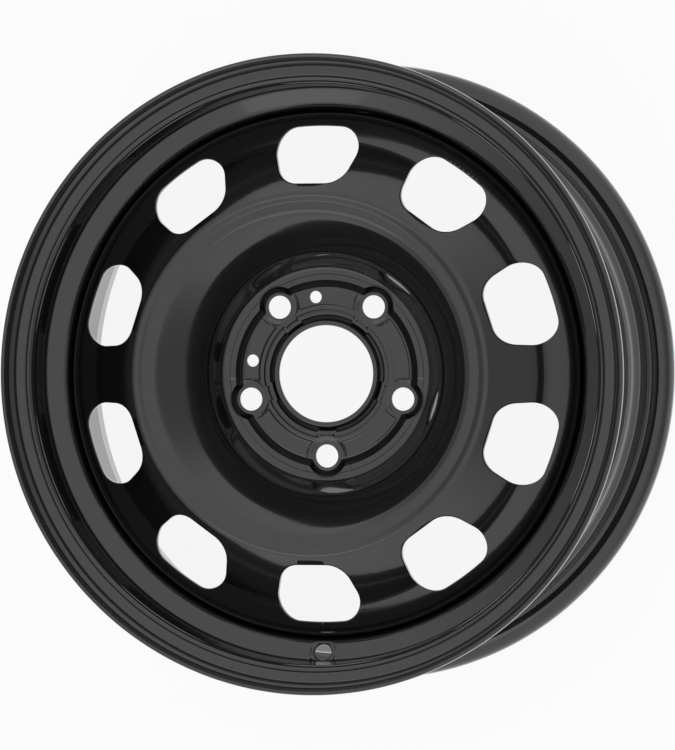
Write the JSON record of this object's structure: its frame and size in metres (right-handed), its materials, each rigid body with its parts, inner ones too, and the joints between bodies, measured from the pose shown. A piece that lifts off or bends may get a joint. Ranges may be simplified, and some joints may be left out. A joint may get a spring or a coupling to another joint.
{
  "type": "steel wheel rim",
  "caption": "Black pressed-steel car wheel: rolled drop-centre rim, dished disc with rounded windows round a raised crest, flat hub area with bolt holes and a centre bore.",
  "frame": {"origin": "centre of the rim: on the spin axis, half way between the two flanges", "axes": "+Z along the spin axis, towards the outboard face; -Y through the valve hole. The wheel lies on its inboard flange"},
  "size_m": [0.4398, 0.4398, 0.1912],
  "materials": {
    "black_coat": "semi-gloss black coat",
    "weld_coat": "semi-gloss black coat over a weld"
  },
  "bodies": {
    "root": {"rim": "black_coat", "wheel_disc": "black_coat", "weld_1": "weld_coat", "weld_2": "weld_coat", "weld_3": "weld_coat", "weld_4": "weld_coat", "weld_5": "weld_coat"}
  },
  "joints": []
}
